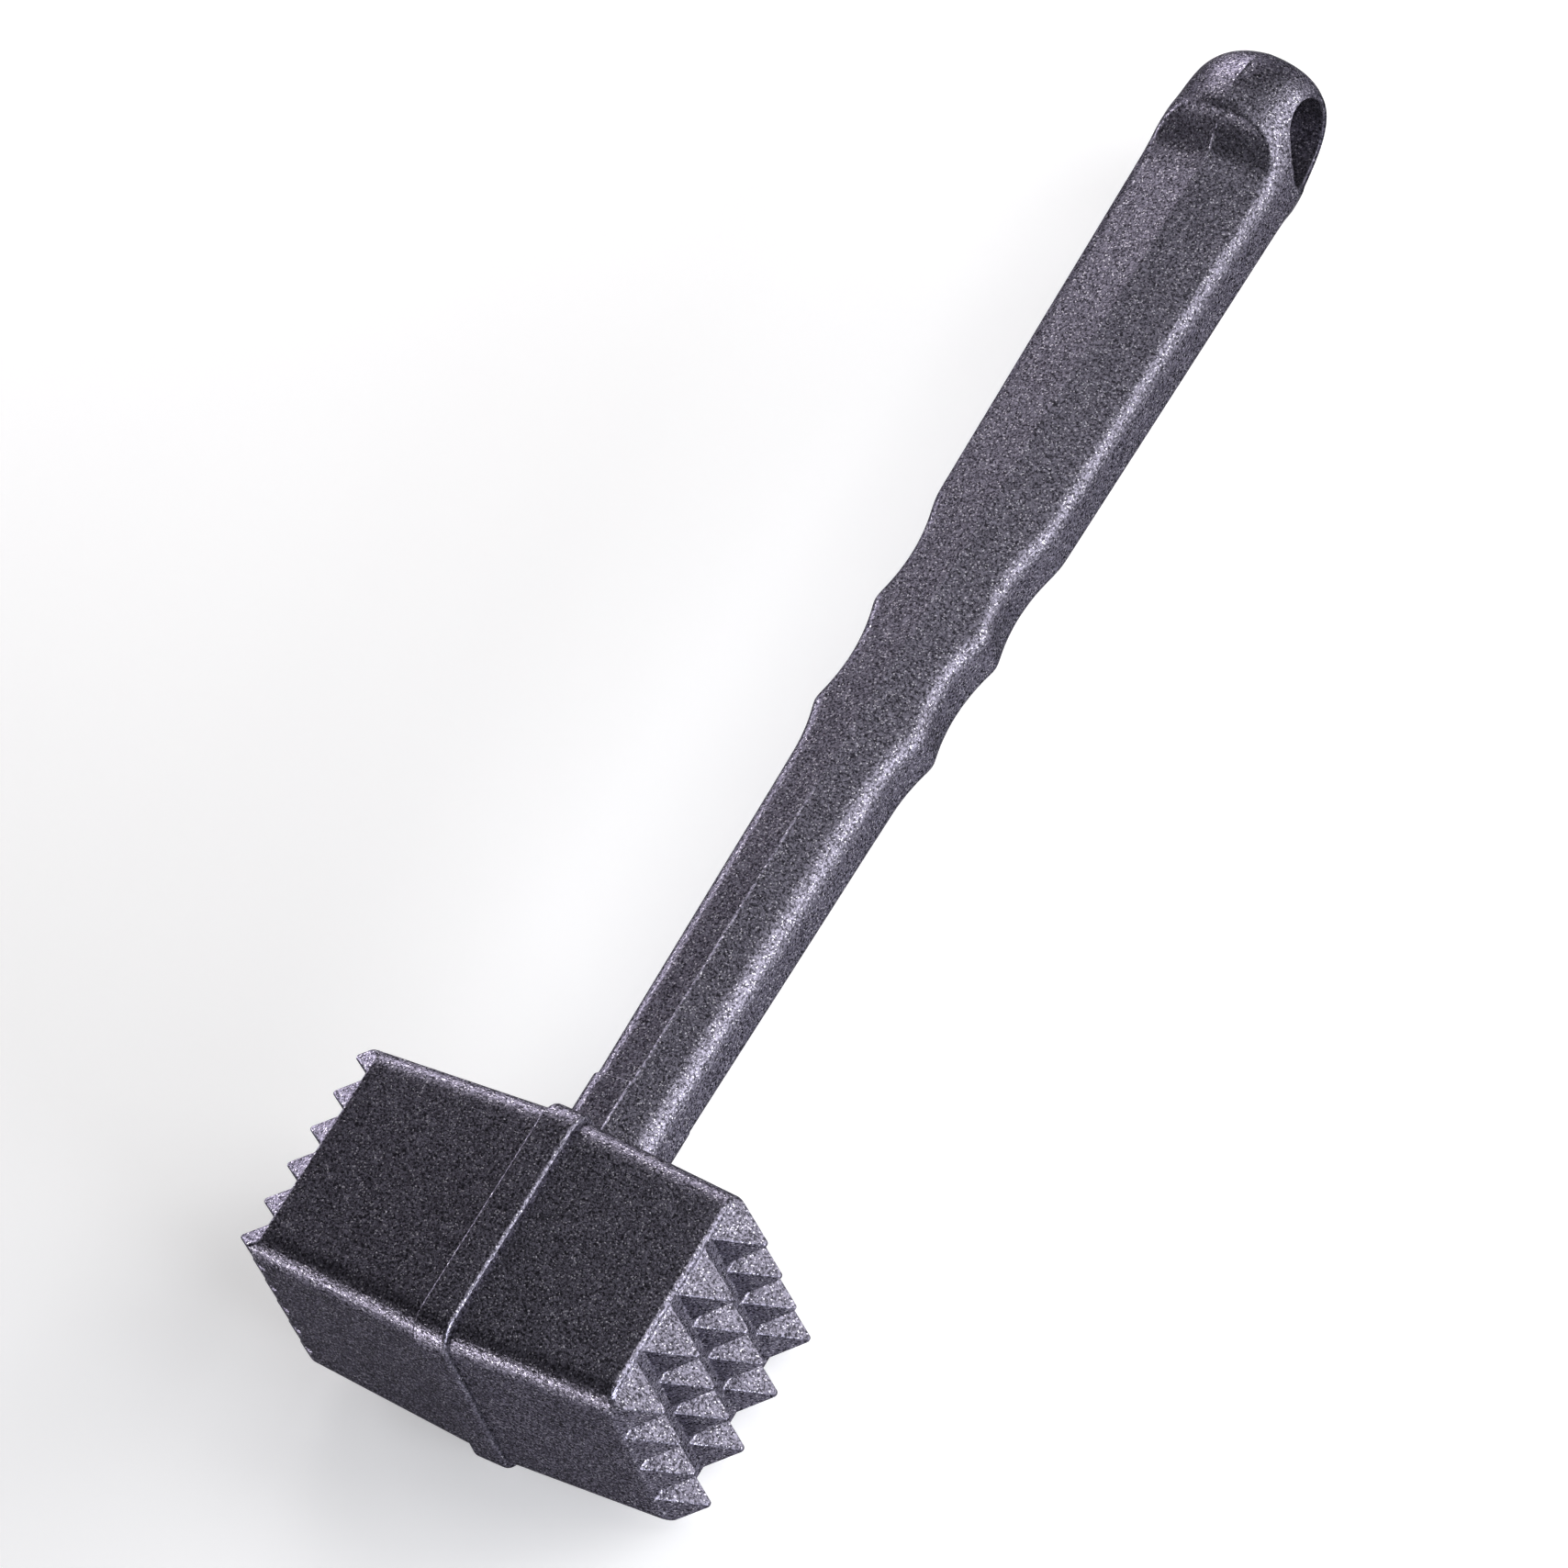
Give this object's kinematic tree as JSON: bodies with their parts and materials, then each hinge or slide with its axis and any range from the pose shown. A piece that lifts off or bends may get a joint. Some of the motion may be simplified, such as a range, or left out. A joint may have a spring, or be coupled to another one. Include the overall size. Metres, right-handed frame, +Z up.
{
  "type": "meat mallet",
  "caption": "Cast meat mallet with a toothed striking face at each end of its head, a faceted grip with finger crests and a hang hole in the handle's end.",
  "frame": {"origin": "on the underside of the head's centre band, straight below the point where the handle's axis meets the head's axis, with the mallet lying level on its side", "axes": "+X along the head towards the coarse teeth, +Y up the handle towards the hang hole, +Z up, away from the surface the mallet lies on"},
  "size_m": [0.0921, 0.3282, 0.0558],
  "materials": {
    "coated_casting": "anthracite coating with a fine sandy, glittering texture on cast light metal",
    "stud_steel": "plain turned steel, hidden inside the castings"
  },
  "bodies": {
    "root": {"handle": "coated_casting", "head_yoke": "coated_casting", "coarse_block": "coated_casting", "fine_block": "coated_casting", "tie_stud": "stud_steel", "handle_stud": "stud_steel"}
  },
  "joints": []
}
